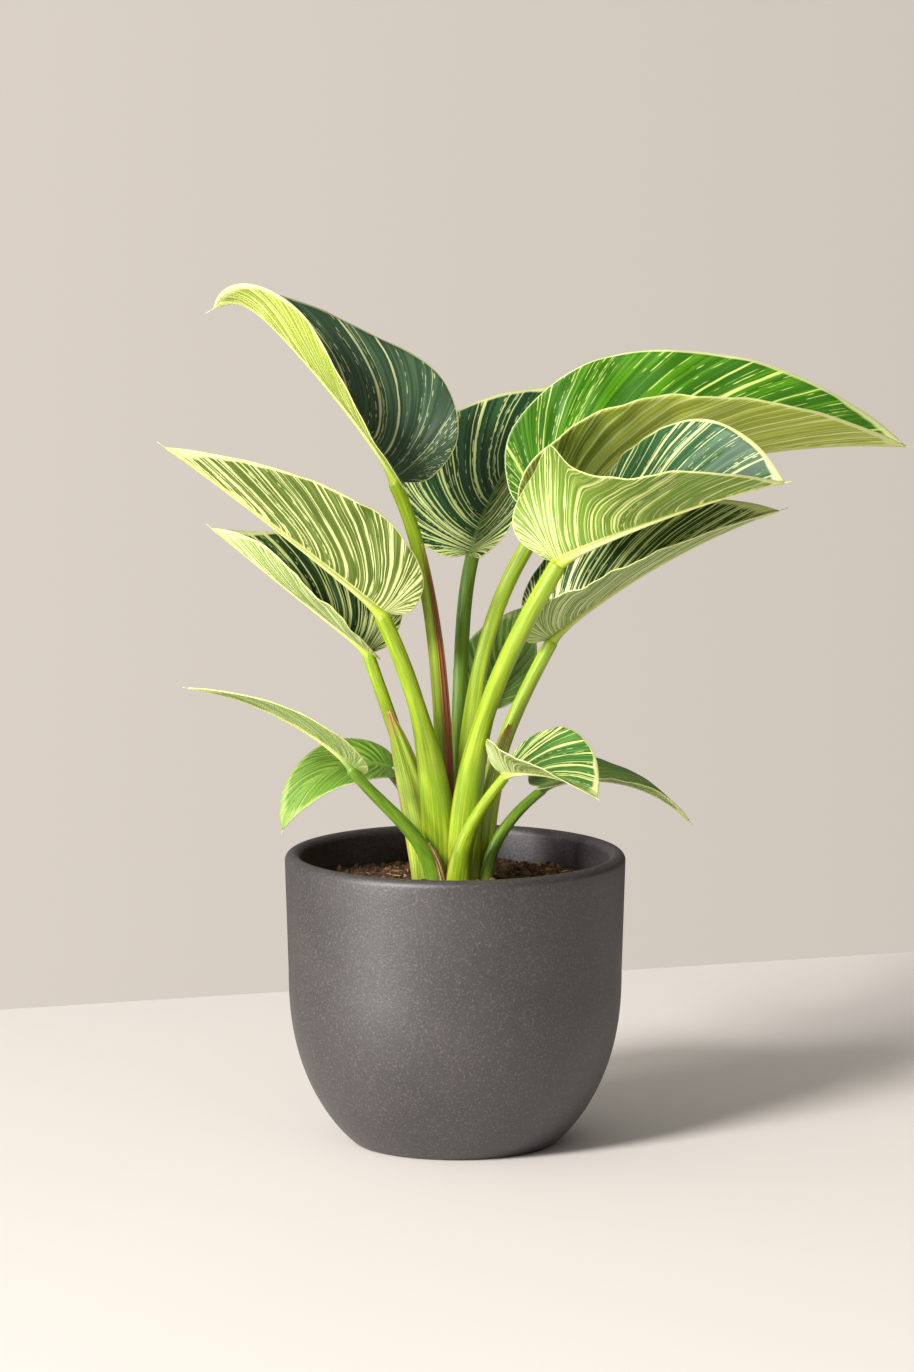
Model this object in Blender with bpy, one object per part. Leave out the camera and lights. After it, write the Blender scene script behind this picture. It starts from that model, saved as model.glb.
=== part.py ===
"""Potted philodendron: a round matt pot, its soil, a short crown and twelve leaves on their petioles.

Metres, +Z up. The origin is the middle of the pot's flat foot, and -Y is the front.
"""
import math
from dataclasses import dataclass

import bmesh
import bpy
import numpy as np

MM = 0.001

# ---- Pot ----
POT_HEIGHT = 0.112
POT_RIM_RADIUS = 0.065
POT_BELLY_RADIUS = 0.0637     # where the round bowl runs into the nearly straight wall
POT_BELLY_HEIGHT = 0.067
POT_FOOT_RADIUS = 0.038
POT_WALL = 0.006
POT_FLOOR = 0.008
BOWL_FLATNESS = 2.4           # powers of the bowl's superellipse, along and across
BOWL_BULGE = 1.2
BOWL_SPACING = 1.6            # crowds the bowl's rings towards its foot
OUTER_STEPS = 9
INNER_STEPS = 7
RIM_STEPS = 6
ROUND_SIDES = 48

# ---- Soil and crown ----
SOIL_DROP = 0.0125            # from the rim down to the soil
SOIL_BUMP = 0.0009
SOIL_RINGS = 5
CROWN_RADIUS = 0.0175
CROWN_DEPTH = 0.016           # how deep the crown sits in the soil
CROWN_STAND = 0.002           # how far its top stands above the soil
CROWN_EDGE = 0.0012
CROWN_SIDES = 32
TOUCH_GAP = 0.0003            # between pieces that touch

# ---- Leaves ----
PLANT_SCALE = 1.0             # all the leaves' lengths, widths and places together
BLADE_THICKNESS = 0.0008
BLADE_RUNGS = 14              # vein-wise rows from the petiole to the tip
BLADE_COLUMNS = 4             # strips across each half
MIDRIB_STEPS = 24
PETIOLE_LIFT = 0.42           # how far up a petiole keeps rising straight off the crown
PETIOLE_SIDES = 10
PETIOLE_RINGS = 11
SHEATH_THICKNESS = 0.0008
SHEATH_EASE = 0.0001
SHEATH_TAPER = 0.92           # how much of its width a sheath loses by its point
SHEATH_ROWS = 9
SHEATH_COLUMNS = 6

# Half of a flat blade: along the midrib in lengths, out from it in half-widths.
BLADE_OUTLINE = ((0.0, 0.0), (-0.05, 0.28), (0.03, 0.74), (0.28, 1.0), (0.62, 0.74), (0.88, 0.29), (1.0, 0.0))
VEIN_CROWDING = 2.2           # veins leave the midrib closer together near the petiole
VEIN_SWEEP = 1.3              # and bend forward towards the margin


@dataclass
class Leaf:
    """One leaf. Lengths in millimetres, angles in degrees."""
    name: str
    foot: tuple               # the petiole's place on the crown, x and y in shares of the crown's radius
    foot_radius: float        # its thickness there, also a share of the crown's radius
    tip_radius: float         # its thickness at the blade
    pull: tuple               # the point that the petiole bows towards, from the middle of the crown's top
    joint: tuple              # where the petiole meets the blade, from the same point
    length: float
    half_width: tuple         # of the (left, right) half
    heading: float            # compass direction of the midrib, from +X towards +Y
    turn: float               # how far the heading turns by the tip
    rise: float               # slope of the midrib at the joint
    droop: float              # slope lost by the tip
    roll: tuple               # about the midrib, right side up: at the joint, half way and at the tip
    fold: tuple               # how far the (left, right) half stands up from the flat
    curl: tuple               # how much more the (left, right) half stands up by its margin
    colour: tuple


DARK_GREEN = (0.030, 0.075, 0.030, 1.0)
MID_GREEN = (0.060, 0.130, 0.035, 1.0)
PALE_GREEN = (0.180, 0.240, 0.080, 1.0)

LEAVES = (
    Leaf("top_left", foot=(-0.20, 0.40), foot_radius=0.17, tip_radius=2.4,
         pull=(-7, 5, 118), joint=(-21, 4, 152), length=93, half_width=(36, 36),
         heading=180, turn=0, rise=55, droop=22,
         roll=(32, 20, -60), fold=(40, 40), curl=(-4, 8), colour=DARK_GREEN),
    Leaf("upper_left", foot=(-0.31, -0.03), foot_radius=0.215, tip_radius=2.8,
         pull=(-14, -12, 74), joint=(-26, -14, 104), length=107, half_width=(35, 35),
         heading=192, turn=0, rise=40, droop=4,
         roll=(-18, -16, -14), fold=(31, 30), curl=(8, 8), colour=DARK_GREEN),
    Leaf("lower_left", foot=(-0.71, 0.06), foot_radius=0.17, tip_radius=2.2,
         pull=(-24, 6, 58), joint=(-32, 8, 86), length=77, half_width=(32, 32),
         heading=176, turn=0, rise=37, droop=-2,
         roll=(27, 20, -12), fold=(36, 36), curl=(8, 8), colour=DARK_GREEN),
    Leaf("edge_left", foot=(-0.43, -0.46), foot_radius=0.195, tip_radius=1.8,
         pull=(-24, -12, 26), joint=(-38, -18, 46), length=72, half_width=(20, 20),
         heading=190, turn=0, rise=44, droop=34,
         roll=(-9, -9, -9), fold=(8, 8), curl=(0, 0), colour=PALE_GREEN),
    Leaf("back_left", foot=(-0.57, 0.49), foot_radius=0.16, tip_radius=1.6,
         pull=(-16, 15, 30), joint=(-25, 18, 40), length=54, half_width=(14, 14),
         heading=196, turn=0, rise=20, droop=95,
         roll=(25, 30, 35), fold=(10, 10), curl=(0, 0), colour=MID_GREEN),
    Leaf("centre", foot=(0.14, 0.63), foot_radius=0.17, tip_radius=2.5,
         pull=(0, 26, 94), joint=(6, 38, 120), length=96, half_width=(38, 38),
         heading=66, turn=-25, rise=50, droop=25,
         roll=(0, 0, 0), fold=(30, 36), curl=(6, 6), colour=DARK_GREEN),
    Leaf("top_right", foot=(0.20, 0.23), foot_radius=0.17, tip_radius=2.8,
         pull=(6, 9, 98), joint=(33, 12, 138), length=144, half_width=(49, 49),
         heading=7, turn=0, rise=24, droop=28,
         roll=(-14, -14, -14), fold=(54, 48), curl=(8, 8), colour=DARK_GREEN),
    Leaf("front_right", foot=(0.17, -0.23), foot_radius=0.215, tip_radius=3.2,
         pull=(12, -20, 78), joint=(37, -28, 126), length=99, half_width=(40, 40),
         heading=-23, turn=0, rise=24, droop=10,
         roll=(50, -32, -30), fold=(50, 46), curl=(8, 8), colour=DARK_GREEN),
    Leaf("lower_right", foot=(0.57, 0.23), foot_radius=0.17, tip_radius=2.4,
         pull=(19, 3, 58), joint=(35, 2, 92), length=102, half_width=(33, 33),
         heading=-6, turn=0, rise=40, droop=20,
         roll=(-14, -14, -14), fold=(24, 24), curl=(4, 4), colour=DARK_GREEN),
    Leaf("small_front", foot=(0.06, -0.66), foot_radius=0.195, tip_radius=1.8,
         pull=(6, -17, 26), joint=(18, -22, 44), length=46, half_width=(22, 22),
         heading=-40, turn=0, rise=15, droop=40,
         roll=(-20, -20, -20), fold=(12, 12), curl=(6, 6), colour=MID_GREEN),
    Leaf("low_right", foot=(0.63, -0.23), foot_radius=0.16, tip_radius=1.6,
         pull=(20, 2, 24), joint=(33, 10, 34), length=64, half_width=(20, 20),
         heading=15, turn=0, rise=16, droop=62,
         roll=(-4, -4, -4), fold=(12, 12), curl=(0, 0), colour=MID_GREEN),
    Leaf("back", foot=(0.51, 0.63), foot_radius=0.16, tip_radius=1.8,
         pull=(8, 24, 38), joint=(13, 34, 62), length=52, half_width=(17, 17),
         heading=72, turn=0, rise=48, droop=20,
         roll=(0, 0, 0), fold=(16, 16), curl=(0, 0), colour=MID_GREEN),
)


@dataclass
class Sheath:
    """A papery sheath that clasps one petiole, from its foot to its own free point."""
    name: str
    host: str                 # the leaf whose petiole it clasps
    start: float              # along the petiole, 0 at its foot to 1 at the blade
    end: float
    facing: float             # the side it is on: degrees from +X towards +Y
    wrap: float               # degrees of the petiole's girth covered at its foot
    flare: float              # how far the free point stands off, in millimetres
    colour: tuple


PINK_BROWN = (0.42, 0.20, 0.14, 1.0)
RED_BROWN = (0.22, 0.07, 0.04, 1.0)
STRAW = (0.50, 0.38, 0.20, 1.0)

SHEATHS = (
    Sheath("cataphyll_left", "lower_left", 0.03, 0.72, facing=275, wrap=86, flare=1.5, colour=PINK_BROWN),
    Sheath("cataphyll_right", "lower_right", 0.05, 0.62, facing=250, wrap=86, flare=1.5, colour=PINK_BROWN),
    Sheath("sheath_red", "top_left", 0.10, 0.78, facing=300, wrap=90, flare=0.5, colour=RED_BROWN),
    Sheath("bract_dry", "edge_left", 0.03, 0.34, facing=320, wrap=84, flare=1.0, colour=STRAW),
)


# ---- Small helpers ----
def unit(vector):
    return vector / np.linalg.norm(vector)


def compass(degrees):
    return np.array([math.cos(math.radians(degrees)), math.sin(math.radians(degrees)), 0.0])


def eased(values, t):
    """Three values, at 0, a half and 1, with a smooth run from each to the next."""
    first, last = (values[0], values[1]) if t < 0.5 else (values[1], values[2])
    share = 2 * t if t < 0.5 else 2 * t - 1
    return first + (last - first) * share * share * (3 - 2 * share)


def make_material(name, colour, roughness):
    material = bpy.data.materials.new(name)
    material.use_nodes = True
    shader = material.node_tree.nodes["Principled BSDF"]
    shader.inputs["Base Color"].default_value = colour
    shader.inputs["Roughness"].default_value = roughness
    shader.inputs["Metallic"].default_value = 0.0
    return material


def make_object(name, verts, faces, colour, roughness, parent, sharp_angle=60):
    """A mesh object with its faces turned outwards, shaded smooth, under the plant's empty."""
    mesh = bpy.data.meshes.new(name)
    mesh.from_pydata([tuple(v) for v in verts], [], faces)
    shape = bmesh.new()
    shape.from_mesh(mesh)
    bmesh.ops.recalc_face_normals(shape, faces=shape.faces)
    shape.to_mesh(mesh)
    shape.free()
    mesh.shade_smooth()
    mesh.set_sharp_from_angle(angle=math.radians(sharp_angle))
    mesh.materials.append(make_material(name, colour, roughness))
    made = bpy.data.objects.new(name, mesh)
    made.parent = parent
    bpy.context.scene.collection.objects.link(made)
    return made


def thicken(sheet, thickness):
    solid = sheet.modifiers.new("thickness", "SOLIDIFY")
    solid.thickness = thickness
    solid.offset = 0.0
    solid.use_even_offset = True


def turned(profile, sides):
    """Vertices and faces of a profile turned about Z; its first and last points are on the axis."""
    verts = [(0.0, 0.0, profile[0][1])]
    for radius, height in profile[1:-1]:
        for k in range(sides):
            angle = 2 * math.pi * k / sides
            verts.append((radius * math.cos(angle), radius * math.sin(angle), height))
    verts.append((0.0, 0.0, profile[-1][1]))
    last = len(verts) - 1
    rings = len(profile) - 2
    top = 1 + (rings - 1) * sides
    faces = []
    for k in range(sides):
        following = (k + 1) % sides
        faces.append((0, 1 + following, 1 + k))
        for ring in range(rings - 1):
            low = 1 + ring * sides
            high = low + sides
            faces.append((low + k, low + following, high + following, high + k))
        faces.append((last, top + k, top + following))
    return verts, faces


# ---- Pot ----
def bowl(foot_radius, belly_radius, low, high, steps):
    """The rounded bowl from the foot up to the belly, as (radius, height) points."""
    points = []
    for i in range(steps + 1):
        t = (i / steps) ** BOWL_SPACING
        bulge = (1 - (1 - t) ** BOWL_FLATNESS) ** (1 / BOWL_BULGE)
        points.append((foot_radius + (belly_radius - foot_radius) * bulge, low + (high - low) * t))
    return points


def inner_bowl():
    foot = POT_FOOT_RADIUS - POT_WALL
    return bowl(foot, POT_BELLY_RADIUS - POT_WALL, POT_FLOOR, POT_BELLY_HEIGHT, INNER_STEPS)


def wall_radius(height):
    """The pot's inner radius at a height on its wall above the belly."""
    low_radius, low = inner_bowl()[-1]
    share = (height - low) / (POT_HEIGHT - POT_WALL / 2 - low)
    return low_radius + (POT_RIM_RADIUS - POT_WALL - low_radius) * share


def make_pot(parent):
    outside = bowl(POT_FOOT_RADIUS, POT_BELLY_RADIUS, 0.0, POT_BELLY_HEIGHT, OUTER_STEPS)
    lip = POT_WALL / 2
    rim = []
    for i in range(RIM_STEPS + 1):
        angle = math.pi * i / RIM_STEPS
        rim.append((POT_RIM_RADIUS - lip + lip * math.cos(angle), POT_HEIGHT - lip + lip * math.sin(angle)))
    profile = [(0.0, 0.0)] + outside + rim + inner_bowl()[::-1] + [(0.0, POT_FLOOR)]
    verts, faces = turned(profile, ROUND_SIDES)
    return make_object("pot", verts, faces, (0.085, 0.078, 0.074, 1.0), 0.55, parent, 40)


# ---- Soil and crown ----
def soil_level():
    return POT_HEIGHT - SOIL_DROP


def crown_top():
    return soil_level() + CROWN_STAND


def soil_bump(x, y):
    """A gentle unevenness of the soil, made of three crossing waves."""
    wave = math.sin(190 * x + 40 * y) + math.sin(230 * y - 90 * x + 1.0) + math.sin(150 * (x + y) + 2.0)
    return SOIL_BUMP * wave


def inset_profile(points, gap):
    """A profile moved towards the axis and up by a gap, square to each of its points."""
    moved = []
    for i, (radius, height) in enumerate(points):
        before = points[max(i - 1, 0)]
        after = points[min(i + 1, len(points) - 1)]
        along = unit(np.array([after[0] - before[0], after[1] - before[1]]))
        moved.append((radius - gap * along[1], height + gap * along[0]))
    return moved


def make_soil(parent):
    """Fills the bowl up to its level, with a round pocket for the crown."""
    level = soil_level()
    floor = POT_FLOOR + TOUCH_GAP
    side = inset_profile(inner_bowl(), TOUCH_GAP)
    side[0] = (side[0][0], floor)
    outer_radius = wall_radius(level) - TOUCH_GAP
    side.append((outer_radius, level))
    pocket_radius = CROWN_RADIUS + TOUCH_GAP
    pocket_floor = level - CROWN_DEPTH - TOUCH_GAP
    top = []
    for i in range(1, SOIL_RINGS):
        top.append((outer_radius + (pocket_radius - outer_radius) * i / SOIL_RINGS, level))
    pocket = [(pocket_radius, level), (pocket_radius, pocket_floor)]
    profile = [(0.0, floor)] + side + top + pocket + [(0.0, pocket_floor)]
    verts, faces = turned(profile, ROUND_SIDES)
    first_top = 1 + len(side) * ROUND_SIDES
    for i in range(first_top, first_top + len(top) * ROUND_SIDES):
        x, y, z = verts[i]
        verts[i] = (x, y, z + soil_bump(x, y))
    return make_object("soil", verts, faces, (0.060, 0.035, 0.020, 1.0), 0.95, parent, 50)


def make_crown(parent):
    """The short thick stem that the petioles stand on."""
    low = soil_level() - CROWN_DEPTH
    high = crown_top()
    profile = [
        (0.0, low),
        (CROWN_RADIUS * 0.8, low),
        (CROWN_RADIUS, low + CROWN_DEPTH * 0.3),
        (CROWN_RADIUS, high - CROWN_EDGE),
        (CROWN_RADIUS - CROWN_EDGE, high),
        (0.0, high),
    ]
    verts, faces = turned(profile, CROWN_SIDES)
    return make_object("crown", verts, faces, (0.12, 0.10, 0.04, 1.0), 0.8, parent, 40)


# ---- Blades ----
def plant_point(offset):
    """A point given in millimetres from the middle of the crown's top."""
    return np.array(offset, float) * MM * PLANT_SCALE + np.array([0.0, 0.0, crown_top()])


def outline_point(u):
    """A point on the flat blade's outline, 0 at the petiole to 1 at the tip, on a curve through its points."""
    spans = len(BLADE_OUTLINE) - 1
    i = min(int(u * spans), spans - 1)
    t = u * spans - i
    before, here, after, beyond = (np.array(BLADE_OUTLINE[min(max(i + k, 0), spans)]) for k in (-1, 0, 1, 2))
    return 0.5 * (2 * here + (after - before) * t + (2 * before - 5 * here + 4 * after - beyond) * t ** 2
                  + (3 * here - before - 3 * after + beyond) * t ** 3)


def midrib_direction(leaf, s):
    slope = math.radians(leaf.rise - leaf.droop * s)
    return compass(leaf.heading + leaf.turn * s) * math.cos(slope) + np.array([0.0, 0.0, math.sin(slope)])


def midrib_frame(leaf, s):
    """The point, direction, right side and upper side of the blade at a share of its length."""
    length = leaf.length * MM * PLANT_SCALE
    within = max(s, 0.0)
    point = plant_point(leaf.joint)
    step = within / MIDRIB_STEPS
    for k in range(MIDRIB_STEPS):
        point = point + midrib_direction(leaf, step * (k + 0.5)) * length * step
    along = midrib_direction(leaf, within)
    if s < 0:
        point = point + along * length * s
    right = unit(np.cross(along, (0.0, 0.0, 1.0)))
    up = np.cross(right, along)
    roll = math.radians(eased(leaf.roll, within))
    turned_right = right * math.cos(roll) + up * math.sin(roll)
    turned_up = up * math.cos(roll) - right * math.sin(roll)
    return point, along, turned_right, turned_up


def blade_point(leaf, s, out, side):
    """A flat blade's point bent into place. `side` is 0 for the left half and 1 for the right."""
    point, _, right, up = midrib_frame(leaf, s)
    half_width = leaf.half_width[side] * MM * PLANT_SCALE
    start = math.radians(leaf.fold[side])
    bend = math.radians(leaf.curl[side])
    if bend == 0:
        across, rise = half_width * out * math.cos(start), half_width * out * math.sin(start)
    else:
        end = start + bend * out
        across = half_width / bend * (math.sin(end) - math.sin(start))
        rise = half_width / bend * (math.cos(start) - math.cos(end))
    return point + right * across * (1 if side else -1) + up * rise


def blade_strip(lower, upper):
    """Faces between two rows of a half blade, whose first and last rows are single points."""
    if len(lower) == 1:
        return [(lower[0], upper[j], upper[j + 1]) for j in range(BLADE_COLUMNS)]
    if len(upper) == 1:
        return [(lower[j], upper[0], lower[j + 1]) for j in range(BLADE_COLUMNS)]
    return [(lower[j], upper[j], upper[j + 1], lower[j + 1]) for j in range(BLADE_COLUMNS)]


def make_blade(leaf, parent):
    """A blade as a sheet of vein-wise rows, thickened evenly about its middle."""
    verts = []
    rows = []
    for i in range(BLADE_RUNGS + 1):
        u = i / BLADE_RUNGS
        start = u ** VEIN_CROWDING
        margin = outline_point(u)
        halves = ([len(verts)], [len(verts)])
        verts.append(blade_point(leaf, start, 0.0, 0))
        if 0 < i < BLADE_RUNGS:
            for side in (0, 1):
                for j in range(1, BLADE_COLUMNS + 1):
                    t = j / BLADE_COLUMNS
                    s = start + (margin[0] - start) * t ** VEIN_SWEEP
                    halves[side].append(len(verts))
                    verts.append(blade_point(leaf, s, margin[1] * t, side))
        rows.append(halves)
    faces = []
    for lower, upper in zip(rows, rows[1:]):
        for side in (0, 1):
            faces += blade_strip(lower[side], upper[side])
    blade = make_object("leaf_" + leaf.name, verts, faces, leaf.colour, 0.35, parent)
    thicken(blade, BLADE_THICKNESS)
    return blade


# ---- Petioles ----
def tip_radius(leaf):
    return leaf.tip_radius * MM * PLANT_SCALE


def petiole_point(leaf, t):
    """A point on the petiole's centre line, from straight up off the crown to a seat under the blade."""
    foot = np.array([leaf.foot[0] * CROWN_RADIUS, leaf.foot[1] * CROWN_RADIUS, crown_top() + TOUCH_GAP])
    pull = plant_point(leaf.pull)
    joint, _, _, up = midrib_frame(leaf, 0.0)
    arrive = unit(joint - pull)
    tilt = math.sqrt(1 - float(arrive @ up) ** 2)
    seat = joint - up * (BLADE_THICKNESS / 2 + TOUCH_GAP + tip_radius(leaf) * tilt)
    lift = foot + np.array([0.0, 0.0, PETIOLE_LIFT * (seat[2] - foot[2])])
    return foot * (1 - t) ** 3 + 3 * lift * t * (1 - t) ** 2 + 3 * pull * t ** 2 * (1 - t) + seat * t ** 3


def petiole_frame(leaf, t):
    """The centre, and two directions square to the petiole; at its foot it stands straight up."""
    along = np.array([0.0, 0.0, 1.0])
    if t > 0:
        along = unit(petiole_point(leaf, t + 0.002) - petiole_point(leaf, t - 0.002))
    sideways = unit(np.cross(along, (0.0, 1.0, 0.0)))
    return petiole_point(leaf, t), sideways, np.cross(sideways, along)


def petiole_radius(leaf, t):
    foot = leaf.foot_radius * CROWN_RADIUS
    return foot + (tip_radius(leaf) - foot) * t


def make_petiole(leaf, parent):
    verts = []
    for i in range(PETIOLE_RINGS):
        t = i / (PETIOLE_RINGS - 1)
        centre, first, second = petiole_frame(leaf, t)
        radius = petiole_radius(leaf, t)
        for k in range(PETIOLE_SIDES):
            angle = 2 * math.pi * k / PETIOLE_SIDES
            verts.append(centre + (first * math.cos(angle) + second * math.sin(angle)) * radius)
    top = (PETIOLE_RINGS - 1) * PETIOLE_SIDES
    faces = [tuple(range(PETIOLE_SIDES)), tuple(range(top, top + PETIOLE_SIDES))]
    for low in range(0, top, PETIOLE_SIDES):
        for k in range(PETIOLE_SIDES):
            following = (k + 1) % PETIOLE_SIDES
            faces.append((low + k, low + following, low + PETIOLE_SIDES + following, low + PETIOLE_SIDES + k))
    return make_object("petiole_" + leaf.name, verts, faces, (0.16, 0.26, 0.04, 1.0), 0.35, parent)


# ---- Sheaths ----
def make_sheath(sheath, parent):
    """A part-round sleeve on its petiole that narrows to a free point."""
    host = next(leaf for leaf in LEAVES if leaf.name == sheath.host)
    # The petiole's flat sides lie inside its radius, so the sleeve clears its corners by the gap.
    clear = TOUCH_GAP / math.cos(math.pi / PETIOLE_SIDES) + SHEATH_THICKNESS / 2 + SHEATH_EASE
    verts = []
    for i in range(SHEATH_ROWS):
        share = i / (SHEATH_ROWS - 1)
        t = sheath.start + (sheath.end - sheath.start) * share
        centre, first, second = petiole_frame(host, t)
        radius = petiole_radius(host, t) + clear + sheath.flare * MM * share ** 2
        towards = compass(sheath.facing)
        middle = math.atan2(float(towards @ second), float(towards @ first))
        half = math.radians(sheath.wrap) / 2 * (1 - SHEATH_TAPER * share ** 2.2)
        for j in range(SHEATH_COLUMNS + 1):
            angle = middle + half * (2 * j / SHEATH_COLUMNS - 1)
            verts.append(centre + (first * math.cos(angle) + second * math.sin(angle)) * radius)
    faces = []
    for i in range(SHEATH_ROWS - 1):
        for j in range(SHEATH_COLUMNS):
            corner = i * (SHEATH_COLUMNS + 1) + j
            above = corner + SHEATH_COLUMNS + 1
            faces.append((corner, corner + 1, above + 1, above))
    made = make_object(sheath.name, verts, faces, sheath.colour, 0.7, parent)
    thicken(made, SHEATH_THICKNESS)
    return made


# ---- The whole plant ----
for old in list(bpy.data.objects):
    bpy.data.objects.remove(old)

plant = bpy.data.objects.new("potted_philodendron", None)
bpy.context.scene.collection.objects.link(plant)

make_pot(plant)
make_soil(plant)
make_crown(plant)
for leaf in LEAVES:
    make_petiole(leaf, plant)
    make_blade(leaf, plant)
for sheath in SHEATHS:
    make_sheath(sheath, plant)
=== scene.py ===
# Potted philodendron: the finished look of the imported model.
#
# Metres, +Z up, the origin in the middle of the pot's foot, -Y the front. Each piece stands for one
# CAD node and is made finer here: blades with ripples, a rib and striped faces, sheathed petioles,
# papery sheaths, a turned pot, and loose soil.
import math
from dataclasses import dataclass

import bpy
import numpy as np
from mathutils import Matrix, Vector, noise


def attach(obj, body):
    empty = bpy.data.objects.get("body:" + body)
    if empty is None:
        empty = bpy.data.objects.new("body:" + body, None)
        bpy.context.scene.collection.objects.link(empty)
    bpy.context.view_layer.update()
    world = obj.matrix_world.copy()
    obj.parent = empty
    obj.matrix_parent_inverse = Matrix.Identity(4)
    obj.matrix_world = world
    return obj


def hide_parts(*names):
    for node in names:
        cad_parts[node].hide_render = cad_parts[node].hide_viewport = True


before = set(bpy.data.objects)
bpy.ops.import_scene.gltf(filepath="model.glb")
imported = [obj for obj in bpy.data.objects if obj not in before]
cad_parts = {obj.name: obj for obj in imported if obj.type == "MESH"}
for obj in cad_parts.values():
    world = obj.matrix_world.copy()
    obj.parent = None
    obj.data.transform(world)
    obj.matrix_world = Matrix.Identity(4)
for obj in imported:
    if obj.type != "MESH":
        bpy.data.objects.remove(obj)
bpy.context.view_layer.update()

MM = 0.001
UP = np.array([0.0, 0.0, 1.0])
SEED = 11

# ---- Sizes that repeat the CAD model's ----
POT_HEIGHT = 0.112
POT_RIM_RADIUS = 0.065
POT_BELLY_RADIUS = 0.0637
POT_BELLY_HEIGHT = 0.067
POT_FOOT_RADIUS = 0.038
POT_WALL = 0.006
POT_FLOOR = 0.008
BOWL_FLATNESS = 2.4
BOWL_BULGE = 1.2
SOIL_LEVEL = 0.0995
CROWN_RADIUS = 0.0175
CROWN_TOP = 0.1015
TOUCH_GAP = 0.0003
BLADE_THICKNESS = 0.0008
PETIOLE_LIFT = 0.42

# ---- Sizes that only this script has ----
FOOT_EASE = 0.0006            # rounds the corner under the pot
FOOT_RECESS = 0.0016
FOOT_RING = ((0.0262, FOOT_RECESS), (0.0272, 0.0014), (0.0280, 0.0002), (0.0290, 0.0), (0.0368, 0.0))
CROWN_EASE = 0.0008           # how much lower the crown's edge is than its middle
STALK_DEPTH = 0.004           # how far a petiole starts below the crown's top
SHEATH_STAND = 0.0007         # between a sheath and its petiole
SHEATH_HALF_THICKNESS = 0.00038
SHEATH_CREASE = 0.00025

# ---- Fineness of the pieces ----
BLADE_ROWS = 110
BLADE_COLUMNS = 26
MIDRIB_STEPS = 200
RIB_RINGS = 60
RIB_SIDES = 12
END_STEPS = 6
PETIOLE_RINGS = 46
PETIOLE_SIDES = 32
POT_SIDES = 160
SHEATH_ROWS = 44
SHEATH_COLUMNS = 26
SOIL_RINGS = 64
SOIL_SIDES = 150
CROWN_RINGS = 30
CROWN_SIDES = 72
CRUMBS = 900
FIBRES = 240

# ---- Camera, lights and floor ----
CAMERA_PLACE = (0.0007, -2.965, 0.635)
CAMERA_DIP = 8.8              # in degrees
CAMERA_LENS = 207             # in millimetres
TABLE = ((-6, -6, 0), (6, -6, 0), (6, 2.32, 0), (-6, -1.68, 0))
LAMP_COLOUR = (1.0, 0.98, 0.955)
LAMPS = (                     # name, place, aim, diameter, watts
    ("key", (-2.05, -2.5, 2.15), (0, 0, 0.15), 0.95, 158),
    ("low_left", (-2.65, -2.0, 0.55), (0, 0, 0.12), 0.7, 68),
)
BRIGHT_SIDE = (-0.62, -0.10, 0.62)
ROOM_STRENGTH = (0.04, 0.50)

# ---- A blade's form, in shares of its length and half-width ----
BLADE_OUTLINE = ((0.0, 0.0), (-0.05, 0.28), (0.03, 0.74), (0.28, 1.0), (0.62, 0.74), (0.88, 0.29), (1.0, 0.0))
VEIN_CROWDING = 4.0           # how closely the veins leave the midrib near the petiole
VEIN_SWEEP = 1.7              # how much they bend forward before the margin
COLUMN_EASE = 1.15            # crowds the columns at the midrib
BLUNT_START = 0.35
LOBE_PLACE = 0.24
LOBE_SPREAD = 0.11
MARGIN_THINNING = 0.6         # the share of the thickness that is gone at the margin
QUILTS = 17                   # shallow swells between the veins
QUILT_DEPTH = 0.22            # in millimetres
RIB_OVERRUN = 1.035           # the rib's length: a fine point past the blade's tip
RIB_DROP = 0.60               # how far the rib hangs under the blade, in shares of its radius
RIB_RISE = 0.0004             # how much less it does so at the tip, in metres

# ---- Units of the blade's layers ----
CHART_UNIT = 10               # of "edges" and "plate", in one metre
PITCH_UNIT = 100              # millimetres in one of "pitch"
LEAST_PITCH = 0.02
RIGHT_HALF_SHIFT = 1.7        # in "veins", so that the two halves differ


# ---- Curves and frames ----
def unit(vector):
    return vector / np.linalg.norm(vector)


def compass(degrees):
    return np.array([math.cos(math.radians(degrees)), math.sin(math.radians(degrees)), 0.0])


def smooth(t):
    t = np.clip(t, 0.0, 1.0)
    return t * t * (3 - 2 * t)


def stations(run, s):
    """A smooth run through (place, value) pairs, or one value all along, for an array of places."""
    places, values = zip(*run) if isinstance(run, tuple) else ((0.0, 1.0), (run, run))
    spread = np.linspace(-0.07, 0.07, 9)
    return np.mean([np.interp(np.asarray(s) + step, places, values) for step in spread], axis=0)


def outline(u):
    """Points on the flat blade's outline, 0 at the petiole to 1 at the tip, for an array of places."""
    points = np.array(BLADE_OUTLINE)
    spans = len(points) - 1
    i = np.minimum((u * spans).astype(int), spans - 1)
    t = (u * spans - i)[:, None]
    before, here, after, beyond = (points[np.clip(i + k, 0, spans)] for k in (-1, 0, 1, 2))
    return 0.5 * (2 * here + (after - before) * t + (2 * before - 5 * here + 4 * after - beyond) * t ** 2
                  + (3 * here - before - 3 * after + beyond) * t ** 3)


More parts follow.
